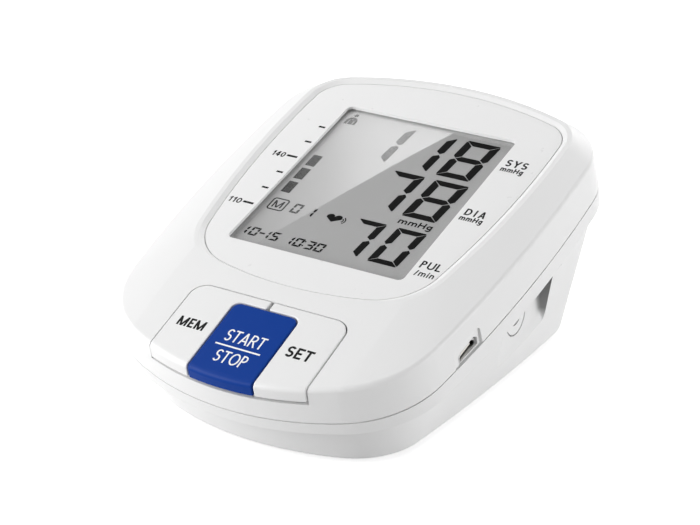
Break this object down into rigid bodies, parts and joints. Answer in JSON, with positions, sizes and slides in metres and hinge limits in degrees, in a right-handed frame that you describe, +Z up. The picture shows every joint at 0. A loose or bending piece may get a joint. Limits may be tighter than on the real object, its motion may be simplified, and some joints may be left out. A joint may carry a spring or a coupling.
{
  "type": "blood pressure monitor",
  "caption": "Desk-top upper-arm blood pressure monitor: white case, sloping display, MEM, START/STOP and SET keys, air socket, micro-USB inlet.",
  "frame": {"origin": "on the table under the middle of the unit", "axes": "+X to the right of the person who reads it, +Y to its rear, +Z up"},
  "size_m": [0.0916, 0.1189, 0.0578],
  "materials": {
    "case_white": "satin white moulding",
    "panel_white": "smooth printed sheet",
    "clear_pane": "clear acrylic pane",
    "lcd_grey": "grey liquid crystal cell",
    "inner_plastic": "plain moulding",
    "black_rubber": "soft black rubber",
    "key_white": "satin white moulding",
    "key_blue": "deep blue moulding",
    "black_plastic": "black moulding",
    "bright_steel": "plated steel",
    "valve_steel": "drawn steel can",
    "board_green": "glass-fibre board",
    "capacitor_sleeve": "printed sleeve",
    "tube_rubber": "silicone tube",
    "cell_jacket": "alkaline cell in a dark jacket",
    "foot_rubber": "grey rubber"
  },
  "bodies": {
    "unit": {"upper_housing": "case_white", "lower_housing": "case_white", "display_panel": "panel_white", "display_window": "clear_pane", "lcd_glass": "lcd_grey", "lcd_holder": "inner_plastic", "lcd_connectors": "black_rubber", "key_switches": "bright_steel", "main_board": "board_green", "board_screws": "bright_steel", "usb_socket": "bright_steel", "usb_tongue": "inner_plastic", "control_chip": "black_plastic", "buzzer": "black_plastic", "storage_capacitor": "capacitor_sleeve", "air_socket": "key_white", "socket_lock_ring": "inner_plastic", "air_manifold": "inner_plastic", "exhaust_valve": "valve_steel", "pressure_sensor": "black_plastic", "sensor_tube": "tube_rubber", "pump_motor": "valve_steel", "pump_head": "black_plastic", "pump_tube": "tube_rubber", "socket_tube": "tube_rubber", "pump_pad": "black_rubber", "battery_cells": "cell_jacket", "contact_springs": "bright_steel", "contact_plates": "bright_steel", "case_screws": "bright_steel", "rubber_feet": "foot_rubber"},
    "mem_key": {"mem_button": "key_white", "mem_plunger": "black_plastic"},
    "start_stop_key": {"start_stop_button": "key_blue", "start_stop_plunger": "black_plastic"},
    "set_key": {"set_button": "key_white", "set_plunger": "black_plastic"},
    "door": {"battery_door": "case_white"}
  },
  "joints": [
    {"name": "mem_press", "type": "slide", "parent": "unit", "child": "mem_key", "axis": [0, 0.274, -0.9617], "range_m": [0, 0.0007], "stiffness_N_per_m": 2500},
    {"name": "start_stop_press", "type": "slide", "parent": "unit", "child": "start_stop_key", "axis": [0, 0.274, -0.9617], "range_m": [0, 0.0007], "stiffness_N_per_m": 2500},
    {"name": "set_press", "type": "slide", "parent": "unit", "child": "set_key", "axis": [0, 0.274, -0.9617], "range_m": [0, 0.0007], "stiffness_N_per_m": 2500},
    {"name": "door_hinge", "type": "hinge", "parent": "unit", "child": "door", "pos_m": [0, -0.03335, 0.001], "axis": [-1, 0, 0], "range_deg": [0, 75]}
  ]
}
